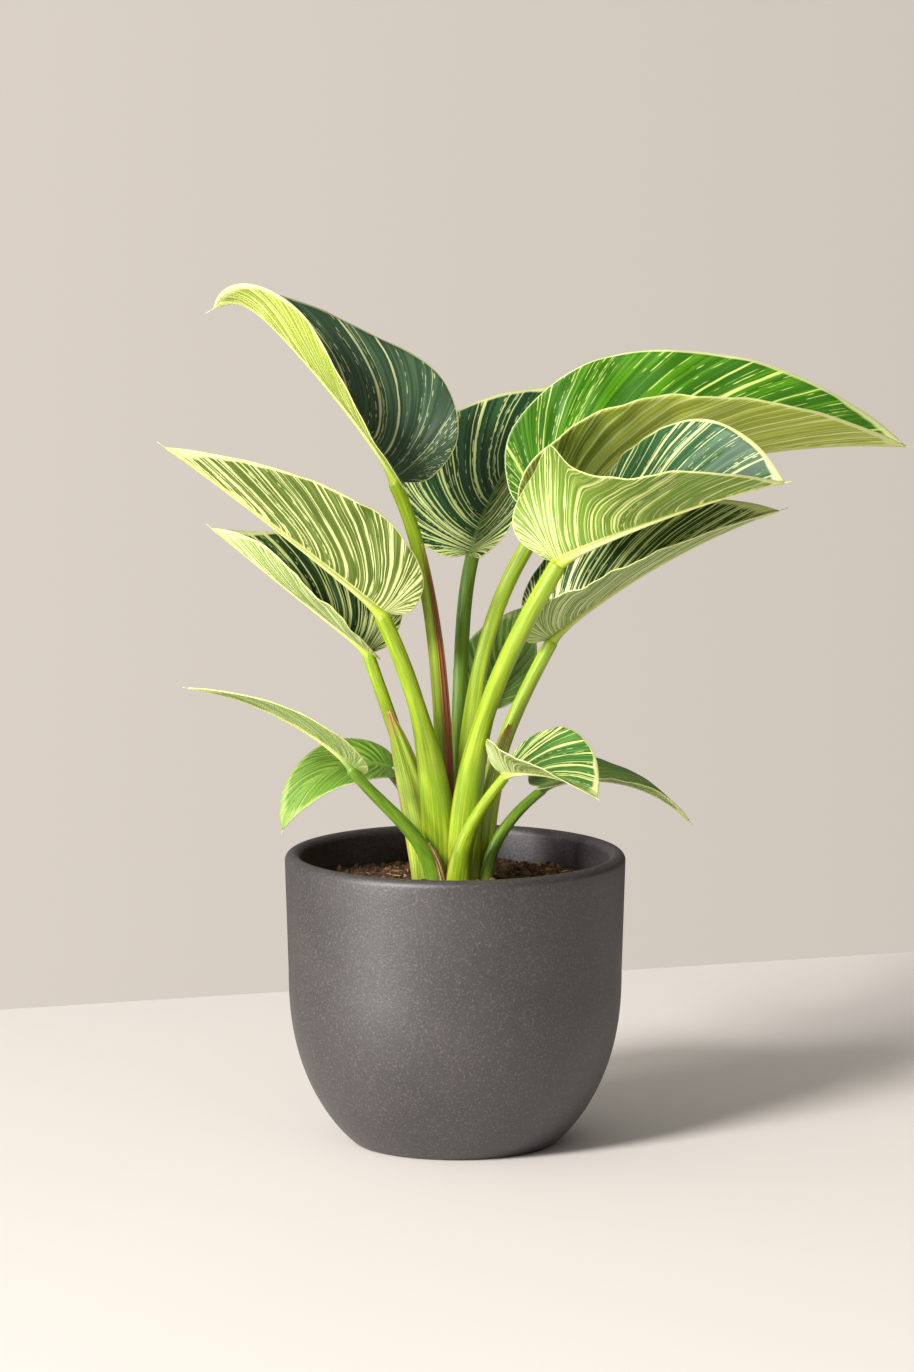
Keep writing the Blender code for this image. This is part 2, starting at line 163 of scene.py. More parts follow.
@dataclass
class Leaf:
    """One leaf. Lengths are in millimetres and angles in degrees.

    A run along the blade is one value, or (place, value) pairs from the petiole, 0, to the tip, 1.
    """
    name: str
    foot: tuple               # the petiole's place on the crown, in shares of the crown's radius
    foot_radius: float        # in shares of it too
    tip_radius: float
    pull: tuple               # a point that bends the petiole, from the crown's top
    joint: tuple              # where the petiole meets the blade, from the crown's top
    length: float
    half_width: tuple         # of the (left, right) half
    heading: float
    slope: tuple              # the run of the midrib's angle above the level
    fold: tuple               # the (left, right) half's run of angles up from the midrib
    curl: tuple               # and of what is added to it by the margin
    upper: str                # the looks of its two faces
    lower: str
    stem: str                 # the look of its petiole
    facing: float             # the side of the petiole that its sheath has its back to
    sheath: float             # how much wider than round the sheath is at the foot
    sheath_end: float
    turn: float = 0.0         # of the heading, towards the tip
    roll: tuple | float = 0.0     # the run of turns about the midrib, right side up
    blunt: float = 0.0        # widens the outline towards the tip
    lobe: float = 0.0         # carries the outline back past the petiole
    ripple: float = 1.0       # waves of the margin, in millimetres
    waves: float = 4.0


LEAVES = (
    Leaf("top_left", foot=(-0.20, 0.40), foot_radius=0.17, tip_radius=2.4, pull=(-7, 5, 118),
         joint=(-21, 4, 152), length=102, half_width=(36, 39), heading=180,
         slope=((0, 57), (0.5, 49), (0.74, 46), (0.86, 36), (0.94, 0), (1, -45)),
         fold=(((0, 4), (0.2, 5), (0.35, 8), (0.5, 16), (0.67, 26), (0.85, 36), (1, 50)),
               ((0, 86), (0.1, 76), (0.28, 54), (0.45, 40), (0.6, 30), (0.8, 18), (1, 10))),
         curl=(2, 6), upper="slate_painted_sheen", lower="lime", stem="bright", facing=300, sheath=1.35, sheath_end=0.8,
         blunt=0.7, ripple=0.6, waves=3),
    Leaf("upper_left", foot=(-0.31, -0.03), foot_radius=0.215, tip_radius=2.8, pull=(-14, -12, 74),
         joint=(-26, -14, 104), length=107, half_width=(35, 35), heading=192, slope=((0, 40), (1, 36)),
         roll=((0, -18), (0.5, -16), (1, -14)), fold=(31, 30), curl=(8, 8), upper="dark", lower="olive_bold",
         stem="bright", facing=272, sheath=1.9, sheath_end=0.66),
    Leaf("lower_left", foot=(-0.71, 0.06), foot_radius=0.17, tip_radius=2.2, pull=(-24, 6, 58),
         joint=(-32, 8, 86), length=77, half_width=(32, 32), heading=176, slope=((0, 37), (1, 39)),
         roll=((0, 27), (0.5, 20), (1, -12)), fold=(36, 36), curl=(8, 8), upper="dark", lower="pale",
         stem="bright", facing=262, sheath=1.1, sheath_end=0.5, ripple=0.9, waves=4),
    Leaf("edge_left", foot=(-0.43, -0.46), foot_radius=0.195, tip_radius=1.8, pull=(-24, -12, 26),
         joint=(-38, -18, 46), length=72, half_width=(20, 20), heading=190, slope=((0, 44), (1, 10)), roll=-9,
         fold=(8, 8), curl=(2, 2), upper="sage", lower="sage_pale", stem="green", facing=240, sheath=1.15,
         sheath_end=0.4, ripple=0.4, waves=2),
    Leaf("back_left", foot=(-0.57, 0.49), foot_radius=0.16, tip_radius=1.6, pull=(-16, 15, 30),
         joint=(-25, 18, 40), length=54, half_width=(14, 14), heading=196, slope=((0, 20), (1, -75)),
         roll=((0, 25), (0.5, 30), (1, 35)), fold=(10, 10), curl=(2, 2), upper="leafy", lower="sage",
         stem="green", facing=150, sheath=1.1, sheath_end=0.4, ripple=0.4, waves=2),
    Leaf("centre", foot=(0.14, 0.63), foot_radius=0.17, tip_radius=2.5, pull=(0, 26, 94), joint=(6, 38, 120),
         length=96, half_width=(38, 38), heading=66, turn=-25, slope=((0, 50), (1, 25)), fold=(30, 36),
         curl=(6, 6), upper="blue", lower="olive", stem="green", facing=90, sheath=1.5, sheath_end=0.62,
         ripple=1.2, waves=4),
    Leaf("top_right", foot=(0.20, 0.23), foot_radius=0.17, tip_radius=2.8, pull=(6, 9, 98),
         joint=(33, 12, 138), length=144, half_width=(49, 49), heading=7, slope=((0, 24), (1, -4)), roll=-14,
         fold=(54, ((0, 57), (0.3, 56), (0.6, 50), (1, 44))), curl=(8, 8), upper="vivid_painted_light", lower="lime_painted_light",
         stem="bright", facing=80, sheath=1.45, sheath_end=0.6, ripple=1.2, waves=5),
    Leaf("front_right", foot=(0.17, -0.23), foot_radius=0.215, tip_radius=3.2, pull=(12, -20, 78),
         joint=(37, -28, 126), length=99, half_width=(40, 43), heading=-23,
         slope=((0, 26), (0.6, 20), (1, 14)),
         fold=(((0, 24), (0.2, 30), (0.35, 44), (0.6, 66), (0.8, 72), (1, 66)),
               ((0, 78), (0.12, 76), (0.22, 62), (0.34, 37), (0.5, 25), (1, 20))),
         curl=(8, ((0, 62), (0.16, 34), (0.32, 8), (1, 4))), upper="blue_sparse", lower="leaf_back",
         stem="bright", facing=275, sheath=1.7, sheath_end=0.55, blunt=0.95, lobe=0.06),
    Leaf("lower_right", foot=(0.57, 0.23), foot_radius=0.17, tip_radius=2.4, pull=(19, 3, 58),
         joint=(35, 2, 92), length=102, half_width=(33, 33), heading=-6, slope=((0, 40), (1, 20)),
         fold=(50, ((0, 30), (0.3, 14), (1, 10))), curl=(6, 4), upper="dense", lower="pale_green",
         stem="bright", facing=275, sheath=1.3, sheath_end=0.6, ripple=1.0, waves=5),
    Leaf("small_front", foot=(0.06, -0.66), foot_radius=0.195, tip_radius=1.8, pull=(6, -17, 26),
         joint=(18, -22, 44), length=47, half_width=(25, 21), heading=-40, slope=((0, 15), (1, -25)),
         fold=(34, ((0, 62), (0.12, 46), (0.3, 24), (1, 15))), curl=(6, 10), upper="fresh",
         lower="pale_green", stem="bright", facing=290, sheath=1.55, sheath_end=0.7, ripple=0.6, waves=3),
    Leaf("low_right", foot=(0.63, -0.23), foot_radius=0.16, tip_radius=1.6, pull=(20, 2, 24),
         joint=(33, 10, 34), length=64, half_width=(20, 20), heading=15, slope=((0, 16), (1, -46)), roll=-4,
         fold=(12, 12), curl=(2, 2), upper="plain", lower="sage", stem="green", facing=300, sheath=1.1,
         sheath_end=0.4, ripple=0.5, waves=3),
    Leaf("back", foot=(0.51, 0.63), foot_radius=0.16, tip_radius=1.8, pull=(8, 24, 38), joint=(13, 34, 62),
         length=52, half_width=(17, 17), heading=72, slope=((0, 48), (1, 28)), fold=(16, 16), curl=(3, 3),
         upper="plain", lower="sage", stem="green", facing=60, sheath=1.15, sheath_end=0.5, ripple=0.5,
         waves=3),
)


# ---- Shader nodes ----
class Nodes:
    """Short names for making the nodes of a tree."""

    def __init__(self, tree):
        self.tree = tree

    def make(self, kind, **settings):
        made = self.tree.nodes.new("ShaderNode" + kind)
        for name, value in settings.items():
            setattr(made, name, value)
        return made

    def node(self, kind, **inputs):
        made = self.make(kind)
        for name, value in inputs.items():
            self.put(made.inputs[name.replace("_", " ")], value)
        return made

    def put(self, socket, value):
        if isinstance(value, bpy.types.NodeSocket):
            self.tree.links.new(value, socket)
        else:
            socket.default_value = value

    def put_all(self, made, values):
        for socket, value in zip(made.inputs, values):
            self.put(socket, value)
        return made.outputs[0]

    def uv(self, layer):
        parts = self.node("SeparateXYZ", Vector=self.make("UVMap", uv_map=layer).outputs["UV"])
        return parts.outputs["X"], parts.outputs["Y"]

    def place(self):
        return self.node("TexCoord").outputs["Object"]

    def math(self, operation, *values):
        return self.put_all(self.make("Math", operation=operation), values)

    def times(self, first, second):
        return self.math("MULTIPLY", first, second)

    def times_plus(self, value, gain, start):
        return self.math("MULTIPLY_ADD", value, gain, start)

    def vector(self, x, y, z=0.0):
        return self.node("CombineXYZ", X=x, Y=y, Z=z).outputs["Vector"]

    def noise(self, vector, scale, detail=2.0, roughness=0.5):
        made = self.node("TexNoise", Vector=vector, Scale=scale, Detail=detail, Roughness=roughness)
        return made.outputs["Fac"]

    def streaks(self, across, many, along, breaks, seed=0.0, detail=1.0):
        """Noise in streaks: many of them across, each with a few breaks along it."""
        return self.noise(self.vector(self.times(across, many), self.times(along, breaks), seed), 1.0, detail)

    def between(self, value, low, high, start=0.0, end=1.0, step="SMOOTHSTEP"):
        """A step of a value from low to high, soft unless told otherwise."""
        return self.put_all(self.make("MapRange", interpolation_type=step), (value, low, high, start, end))

    def mix(self, share, first, second):
        made = self.make("Mix", data_type="RGBA")
        for name, value in (("Factor", share), ("A", first), ("B", second)):
            self.put(made.inputs[name], value)
        return made.outputs["Result"]


class Shader(Nodes):
    """A Principled material."""

    def __init__(self, name):
        self.material = bpy.data.materials.new(name)
        self.material.use_nodes = True
        super().__init__(self.material.node_tree)
        self.skin = self.tree.nodes["Principled BSDF"]

    def bump(self, height, strength, distance):
        made = self.node("Bump", Height=height, Strength=strength, Distance=distance)
        self.put(self.skin.inputs["Normal"], made.outputs["Normal"])

    def set(self, **inputs):
        for name, value in inputs.items():
            self.put(self.skin.inputs[name.replace("_", " ")], value)
        return self.material


def rgb(red, green, blue):
    """A colour from its screen values, 0 to 255."""
    linear = []
    for value in (red, green, blue):
        share = value / 255
        linear.append(share / 12.92 if share <= 0.04045 else ((share + 0.055) / 1.055) ** 2.4)
    return (*linear, 1.0)


# ---- Leaf faces ----
@dataclass
class Face:
    """One look of a blade's face. Its colours are screen values."""
    deep: tuple               # between the veins
    light: tuple              # along them
    cream: tuple              # the stripes
    bold: float               # the share of the wide stripes that are there, 0 to 1
    fine: float               # of the thin ones
    dash: float               # and of the short ones
    rough: float
    lower: bool = False
    rim: float = 0.9          # how cream its margin is


FACES = {
    # Partly the leaf's own dark green, partly a painted sheen: the grey in this face stands for light
    # glancing off top_left's upper face.
    "slate_painted_sheen": Face((50, 76, 50), (78, 106, 74), (214, 222, 160), 0.24, 0.20, 0.50, 0.42),
    "dark": Face((24, 52, 20), (54, 88, 36), (216, 224, 146), 0.85, 0.62, 0.40, 0.44),
    "blue": Face((20, 54, 26), (52, 90, 50), (214, 226, 146), 0.80, 0.50, 0.50, 0.42),
    "blue_sparse": Face((32, 74, 38), (66, 108, 64), (212, 222, 150), 0.42, 0.30, 0.50, 0.46),
    "dense": Face((26, 60, 20), (60, 100, 42), (232, 238, 168), 0.98, 0.90, 0.40, 0.44),
    # Painted light: its own green made brighter and yellower, for light on and through top_right's upper
    # face.
    "vivid_painted_light": Face((44, 100, 2), (86, 148, 8), (214, 230, 124), 0.24, 0.20, 0.55, 0.44),
    "fresh": Face((56, 104, 38), (94, 140, 64), (222, 230, 144), 0.60, 0.40, 0.20, 0.42),
    "leafy": Face((84, 124, 34), (132, 166, 58), (150, 180, 84), 0.04, 0.25, 0.03, 0.46, rim=0.25),
    "plain": Face((78, 112, 40), (118, 148, 62), (136, 168, 96), 0.04, 0.20, 0.03, 0.46, rim=0.25),
    "sage": Face((116, 144, 62), (154, 178, 86), (186, 202, 122), 0.20, 0.50, 0.05, 0.50, True),
    "lime": Face((138, 158, 38), (176, 194, 72), (214, 224, 138), 0.85, 0.80, 0.10, 0.52, True),
    # Painted light: a lighter copy of the lime face, for top_right's underside, which lies in shade.
    "lime_painted_light": Face((154, 170, 48), (190, 204, 86), (222, 230, 150), 0.85, 0.80, 0.10, 0.52, True),
    "olive": Face((90, 116, 42), (124, 148, 66), (200, 212, 136), 0.80, 0.70, 0.10, 0.52, True),
    "olive_bold": Face((80, 102, 32), (118, 138, 58), (224, 228, 158), 0.92, 0.80, 0.20, 0.50, True),
    "pale": Face((126, 154, 64), (172, 192, 104), (226, 232, 172), 0.95, 0.95, 0.12, 0.50, True),
    "sage_pale": Face((122, 148, 72), (164, 186, 106), (188, 204, 132), 0.10, 0.15, 0.02, 0.50, True, 0.6),
    "pale_green": Face((108, 140, 58), (154, 178, 98), (220, 228, 164), 0.95, 0.90, 0.12, 0.50, True),
    "leaf_back": Face((100, 132, 40), (138, 164, 68), (214, 224, 142), 0.92, 0.75, 0.16, 0.50, True),
}


@dataclass
class Stripes:
    """One family of stripes: at most one in each cell along the midrib."""
    count: float              # cells along the midrib
    width: float              # in millimetres
    breaks: float             # how often they break along a vein
    gaps: float               # how much of them is left out there
    strength: float
    seed: float


WIDE_STRIPES = Stripes(26.0, 0.62, 2.0, 0.26, 1.0, 0.0)
THIN_STRIPES = Stripes(64.0, 0.30, 3.5, 0.32, 0.85, 40.0)
DASHES = Stripes(120.0, 0.26, 15.0, 0.50, 0.75, 90.0)
BREAK_SOFTNESS = 0.14
MOST_OF_CELL = 0.30           # the widest a stripe gets, in cells


def stripe_mask(shade, line, v, pitch, seed, family, share):
    """Where one family's stripes are: a share of its cells has one."""
    seed = seed + family.seed
    at = shade.times(line, family.count)
    cell = shade.math("FLOOR", at)
    dice = shade.make("TexWhiteNoise", noise_dimensions="1D")
    shade.put(dice.inputs["W"], shade.math("ADD", cell, seed))
    throws = shade.node("SeparateColor", Color=dice.outputs["Color"]).outputs
    centre = shade.times_plus(throws["Red"], 0.40, 0.30)
    off = shade.math("ABSOLUTE", shade.math("SUBTRACT", shade.math("FRACT", at), centre))
    swell = shade.streaks(cell, 1.7, v, 5.0, seed)
    broken = shade.streaks(cell, 3.1, v, family.breaks, seed)
    wide = shade.times(shade.times_plus(throws["Green"], 0.9, 0.45), shade.times_plus(swell, 1.5, 0.25))
    wide = shade.times(wide, shade.between(broken, family.gaps, family.gaps + BREAK_SOFTNESS))
    wide = shade.times(wide, shade.between(v, 0.0, 0.18, 0.45, 1.0))
    reach = shade.math("DIVIDE", shade.times(wide, family.width * family.count / PITCH_UNIT), pitch)
    reach = shade.math("MINIMUM", shade.math("MAXIMUM", reach, 0.0001), MOST_OF_CELL)
    mask = shade.between(off, reach, shade.times(reach, 0.4))
    apart = shade.between(pitch, 0.0012 * family.count, 0.0034 * family.count)
    mask = shade.times(shade.times(mask, apart), shade.math("LESS_THAN", throws["Blue"], share))
    return shade.times(mask, family.strength)


def all_stripes(shade, u, v, pitch, seed, face):
    """Cream stripes that run out along the veins: wide ones, thin ones between them, and short dashes."""
    line = shade.times_plus(shade.streaks(u, 9.0, v, 4.0, seed, 2.0), 0.010, u)
    families = ((WIDE_STRIPES, face.bold), (THIN_STRIPES, face.fine), (DASHES, face.dash))
    wide, thin, dash = [stripe_mask(shade, line, v, pitch, seed, *family) for family in families]
    return shade.math("MAXIMUM", shade.math("MAXIMUM", wide, thin), dash)


def leaf_material(leaf, key, seed):
    face = FACES[key]
    shade = Shader("{}_{}".format(leaf.name, key))
    u, v = shade.uv("veins")
    margin, midrib = shade.uv("edges")
    along, across = shade.uv("plate")
    pitch, _ = shade.uv("pitch")
    apart = shade.between(pitch, 0.10, 0.32)
    veins = shade.math("SUBTRACT", shade.streaks(u, 120.0, v, 1.2, seed), 0.5)
    veins = shade.times_plus(veins, apart, 0.5)
    blotch = shade.noise(shade.vector(along, across, seed), 1.6, 3.0, 0.6)
    tone = shade.times_plus(shade.between(veins, 0.42, 0.68), 0.45, shade.times(blotch, 0.55))
    colour = shade.mix(shade.between(tone, 0.16, 0.74), rgb(*face.deep), rgb(*face.light))
    stripes = all_stripes(shade, u, v, pitch, seed, face)
    colour = shade.mix(stripes, colour, rgb(*face.cream))
    uneven = shade.noise(shade.vector(shade.times(u, 16.0), seed), 1.0, 1.0)
    reach = shade.times_plus(uneven, 0.008, 0.002)
    rim = shade.between(margin, reach, shade.times(reach, 0.5))
    colour = shade.mix(shade.times(rim, face.rim), colour, rgb(224, 230, 158))
    rib = shade.between(midrib, 0.016, 0.009)
    rib_colour = rgb(206, 212, 132) if face.lower else rgb(120, 158, 62)
    colour = shade.mix(shade.times(rib, 0.9 if face.lower else 0.62), colour, rib_colour)
    shade.bump(shade.times_plus(stripes, 0.25, shade.times(veins, 0.9)), 0.24, 0.0004)
    gloss = shade.times_plus(blotch, 0.16, face.rough - 0.08)
    return shade.set(Base_Color=colour, Roughness=gloss, Specular_IOR_Level=0.34,
                     Subsurface_Weight=0.12 if face.lower else 0.04,
                     Subsurface_Radius=(0.8, 1.0, 0.3), Subsurface_Scale=0.0009)


def rib_material(key):
    start = {"bright": rgb(176, 198, 48), "green": rgb(112, 148, 46)}[key]
    shade = Shader("rib_" + key)
    around, along = shade.uv("veins")
    grain = shade.streaks(around, 12.0, along, 9.0, detail=2.0)
    pale = shade.mix(grain, rgb(196, 204, 112), rgb(222, 226, 152))
    colour = shade.mix(shade.between(along, 0.0, 0.16), start, pale)
    return shade.set(Base_Color=colour, Roughness=shade.times_plus(grain, 0.1, 0.36))


def margin_material():
    shade = Shader("leaf_margin")
    spots = shade.noise(shade.place(), 420.0, 3.0, 0.6)
    colour = shade.mix(shade.between(spots, 0.35, 0.7), rgb(206, 214, 130), rgb(234, 236, 170))
    return shade.set(Base_Color=colour, Roughness=0.42)


# ---- Meshes ----
def add_piece(name, verts, faces, materials, nodes, slots=None, layers=None, tints=None):
    """A smooth mesh piece on the root body that stands for CAD nodes. Layers are UV maps, by vertex."""
    mesh = bpy.data.meshes.new(name)
    mesh.from_pydata([tuple(map(float, p)) for p in verts], [], [tuple(map(int, f)) for f in faces])
    for material in materials:
        mesh.materials.append(material)
    if slots is not None:
        mesh.polygons.foreach_set("material_index", np.array(slots, np.int32))
    corners = np.zeros(len(mesh.loops), np.int64)
    mesh.loops.foreach_get("vertex_index", corners)
    for layer, values in (layers or {}).items():
        chart = mesh.uv_layers.new(name=layer)
        chart.data.foreach_set("uv", np.asarray(values, np.float32)[corners].ravel())
    if tints is not None:
        tint = mesh.attributes.new("tint", "FLOAT", "POINT")
        tint.data.foreach_set("value", np.asarray(tints, np.float32))
    mesh.shade_smooth()
    mesh.update()
    made = bpy.data.objects.new(name, mesh)
    bpy.context.scene.collection.objects.link(made)
    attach(made, "root")
    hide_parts(*nodes)


def tube_faces(rings, sides, first=0, closed=True):
    """The faces between rings of points, and one across each end."""
    faces = []
    for i in range(rings - 1):
        for k in range(sides):
            low = first + i * sides
            after = (k + 1) % sides
            faces.append((low + k, low + after, low + sides + after, low + sides + k))
    if closed:
        faces.append(tuple(first + k for k in reversed(range(sides))))
        faces.append(tuple(first + (rings - 1) * sides + k for k in range(sides)))
    return faces


def turned_faces(rings, sides, first=0):
    """The faces of a closed form made of one point, then the rings, then another point."""
    faces = tube_faces(rings, sides, first + 1, closed=False)
    top = first + 1 + (rings - 1) * sides
    for k in range(sides):
        after = (k + 1) % sides
        faces.append((first, first + 1 + after, first + 1 + k))
        faces.append((top + sides, top + k, top + after))
    return faces


def ring_points(radius, height, sides):
    turns = [2 * math.pi * k / sides for k in range(sides)]
    return [(radius * math.cos(turn), radius * math.sin(turn), height) for turn in turns]


# ---- Blades ----
def plant_point(offset):
    return np.array(offset, float) * MM + UP * CROWN_TOP


class Spine:
    """A blade's midrib in space, with its right and upper sides."""

    def __init__(self, leaf):
        s = np.linspace(0, 1, MIDRIB_STEPS + 1)
        slope = np.radians(stations(leaf.slope, s))
        heading = np.radians(leaf.heading + leaf.turn * s)
        along = np.stack([np.cos(heading) * np.cos(slope), np.sin(heading) * np.cos(slope), np.sin(slope)], 1)
        middle = (along[1:] + along[:-1]) / 2 * leaf.length * MM / MIDRIB_STEPS
        self.point = plant_point(leaf.joint) + np.vstack([np.zeros(3), np.cumsum(middle, 0)])
        right = np.cross(along, UP)
        right /= np.linalg.norm(right, axis=1)[:, None]
        up = np.cross(right, along)
        roll = np.radians(stations(leaf.roll, s))[:, None]
        self.right = right * np.cos(roll) + up * np.sin(roll)
        self.up = up * np.cos(roll) - right * np.sin(roll)
        self.along = along
        self.places = s
        self.length = leaf.length * MM

    def read(self, rows, s):
        return np.stack([np.interp(s, self.places, rows[:, k]) for k in range(3)], -1)

    def at(self, s):
        s = np.asarray(s, float)
        along = self.read(self.along, s)
        behind = np.minimum(s, 0.0)[..., None] * self.length
        ahead = np.maximum(s - 1.0, 0.0)[..., None] * self.length
        point = self.read(self.point, s) + along * (behind + ahead)
        return point, along, self.read(self.right, s), self.read(self.up, s)


def blade_sheet(leaf, spine):
    """The blade's middle surface: rows along the veins, columns from the left margin to the right one.

    It gives the points and, for each, how far along the midrib it is, how far out, on which side, its
    distance from the midrib and its distance from the margin.
    """
    u = np.linspace(0, 1, BLADE_ROWS + 1)
    start = u ** VEIN_CROWDING
    margin = outline(u)
    widen = 1 + leaf.blunt * smooth((margin[:, 0] - BLUNT_START) / 0.6) * margin[:, 0] ** 2
    reach = (margin[:, 1] * widen)[:, None]
    margin[:, 0] -= leaf.lobe * np.exp(-((u - LOBE_PLACE) / LOBE_SPREAD) ** 2)
    columns = np.linspace(-1, 1, 2 * BLADE_COLUMNS + 1)
    t = np.abs(columns) ** COLUMN_EASE
    side = np.sign(columns)
    s = start[:, None] + (margin[:, 0] - start)[:, None] * t ** VEIN_SWEEP
    out = reach * t
    point, _, right, up = spine.at(s)
    across = np.zeros_like(s)
    rise = np.zeros_like(s)
    angle = np.zeros_like(s)
    half = np.where(side < 0, *leaf.half_width) * MM
    for k, sign in ((0, -1), (1, 1)):
        here = (side == sign)[None, :] & np.ones_like(s, bool)
        fold = np.radians(stations(leaf.fold[k], s))
        bend = np.radians(stations(leaf.curl[k], s)) + 1e-4
        end = fold + bend * out
        across = np.where(here, half / bend * (np.sin(end) - np.sin(fold)) * sign, across)
        rise = np.where(here, half / bend * (np.cos(fold) - np.cos(end)), rise)
        angle = np.where(here, end, angle)
    normal = up * np.cos(angle)[..., None] - right * (np.sin(angle) * side)[..., None]
    phase = np.where(side < 0, 0.9, 2.3)
    wave = np.sin(2 * math.pi * leaf.waves * s + phase) * out ** 2 * leaf.ripple * 0.6
    wave += np.sin(2 * math.pi * leaf.waves * 2.3 * s + 2 * phase) * out ** 3 * leaf.ripple * 0.3
    fade = smooth(s / 0.12) * smooth((1.02 - s) / 0.2)
    quilt = np.sin(2 * math.pi * QUILTS * u)[:, None] * smooth(t / 0.25) * smooth((1 - t) / 0.2) * QUILT_DEPTH
    swell = (wave * fade + quilt * smooth(s / 0.15)) * MM
    sheet = point + right * across[..., None] + up * rise[..., None] + normal * swell[..., None]
    return sheet, u, s, t, side, out * half, reach * half * (1 - t)


def blade_grid(rows, columns):
    """The grid's places and faces. At the petiole and at the tip, a whole row is one point."""
    middle = columns // 2
    index = np.zeros((rows, columns), int)
    places = []
    for i in range(rows):
        for j in range(columns):
            if i in (0, rows - 1) and j != middle:
                continue
            index[i, j] = len(places)
            places.append((i, j))
    index[0, :] = index[0, middle]
    index[-1, :] = index[-1, middle]
    faces = []
    for i in range(rows - 1):
        for j in range(columns - 1):
            corners = [index[i, j], index[i, j + 1], index[i + 1, j + 1], index[i + 1, j]]
            faces.append(tuple(c for k, c in enumerate(corners) if c != corners[k - 1]))
    return places, faces, index[rows // 2, middle]


def vertex_normals(points, faces):
    probe = bpy.data.meshes.new("probe")
    probe.from_pydata([tuple(p) for p in points], [], faces)
    normals = np.zeros(len(points) * 3, np.float32)
    probe.vertex_normals.foreach_get("vector", normals)
    bpy.data.meshes.remove(probe)
    return normals.reshape(-1, 3)


def border(faces):
    """The edges that only one face has, as that face runs along them."""
    open_edges = {}
    for face in faces:
        for a, b in zip(face, face[1:] + face[:1]):
            if (b, a) in open_edges:
                del open_edges[(b, a)]
            else:
                open_edges[(a, b)] = True
    return open_edges


def vein_spacing(sheet):
    """How fast the veins part at each point: the distance between the first and the last at that rate."""
    stride = np.gradient(sheet, axis=0) * BLADE_ROWS
    veinward = np.gradient(sheet, axis=1)
    veinward /= np.linalg.norm(veinward, axis=2)[..., None] + 1e-9
    stride -= veinward * np.sum(stride * veinward, axis=2)[..., None]
    return np.linalg.norm(stride, axis=2) / MM / PITCH_UNIT


def make_blade(leaf, seed):
    spine = Spine(leaf)
    sheet, u, s, t, side, width, edge = blade_sheet(leaf, spine)
    places, top, centre = blade_grid(*sheet.shape[:2])
    points = np.array([sheet[at] for at in places])
    normals = vertex_normals(points, top)
    if normals[centre] @ spine.at(0.5)[3] < 0:
        top = [tuple(reversed(face)) for face in top]
        normals = -normals
    out = np.array([t[j] for _, j in places])
    thick = BLADE_THICKNESS * (1 - MARGIN_THINNING * out ** 3)
    count = len(points)
    rim = border(top)
    faces = top + [tuple(count + c for c in reversed(face)) for face in top]
    faces += [(b, a, count + a, count + b) for a, b in rim]
    pitch = vein_spacing(sheet)
    charts = {
        "veins": [(u[i] + (RIGHT_HALF_SHIFT if side[j] > 0 else 0.0), t[j]) for i, j in places],
        "edges": [(edge[at] * CHART_UNIT, width[at] * CHART_UNIT) for at in places],
        "plate": [(s[at] * spine.length * CHART_UNIT, width[at] * side[at[1]] * CHART_UNIT) for at in places],
        "pitch": [(max(pitch[at], LEAST_PITCH), 0.0) for at in places],
    }
    rib_points, rib_faces, rib_chart = make_rib(leaf, spine, count * 2)
    layers = {name: np.vstack([chart, chart, rib_chart]) for name, chart in charts.items()}
    offset = normals * thick[:, None] / 2
    verts = np.vstack([points + offset, points - offset, rib_points])
    slots = [0] * len(top) + [1] * len(top) + [2] * len(rim) + [3] * len(rib_faces)
    upper, lower = [leaf_material(leaf, key, seed) for key in (leaf.upper, leaf.lower)]
    add_piece("blade_" + leaf.name, verts, faces + rib_faces, [upper, lower, MARGIN, RIBS[leaf.stem]],
              ["leaf_" + leaf.name], slots, layers)


def joint_centre(leaf, point, up, s=0.0):
    """The middle of the rib, or of the petiole's end, under the blade."""
    radius = rib_radius(leaf, s)
    return point - up * max(BLADE_THICKNESS / 2 + radius * RIB_DROP - RIB_RISE * s, 0.0)


def rib_radius(leaf, s):
    return leaf.tip_radius * MM * (0.30 * max(1 - s, 0.0) ** 1.2 + 0.70 * math.exp(-s / 0.045)) + 0.0002


def rounded_end():
    """Shares of the radius, and of its reach, that close a tube with half a ball."""
    angles = [math.pi / 2 * i / END_STEPS for i in range(1, END_STEPS)]
    return [(math.cos(angle), math.sin(angle)) for angle in angles]


def make_rib(leaf, spine, first):
    """The rib under the midrib: it carries the petiole on to the tip, and past it as a fine point."""
    point, along, right, up = spine.at(0.0)
    radius = rib_radius(leaf, 0.0)
    foot = joint_centre(leaf, point, up)
    stops = [(foot - along * radius * reach, right, up, radius * narrow, 0.0)
             for narrow, reach in reversed(rounded_end())]
    for i in range(RIB_RINGS):
        s = RIB_OVERRUN * i / (RIB_RINGS - 1)
        point, along, right, up = spine.at(s)
        thin = 1 if s < 1 else 0.6
        stops.append((joint_centre(leaf, point, up, min(s, 1.0)), right, up, rib_radius(leaf, s) * thin, s))
    verts = []
    chart = []
    for centre, right, up, radius, s in stops:
        for k in range(RIB_SIDES):
            angle = 2 * math.pi * k / RIB_SIDES
            verts.append(centre + (right * math.cos(angle) + up * math.sin(angle)) * radius)
            chart.append((k / RIB_SIDES, s))
    return verts, tube_faces(len(stops), RIB_SIDES, first), chart


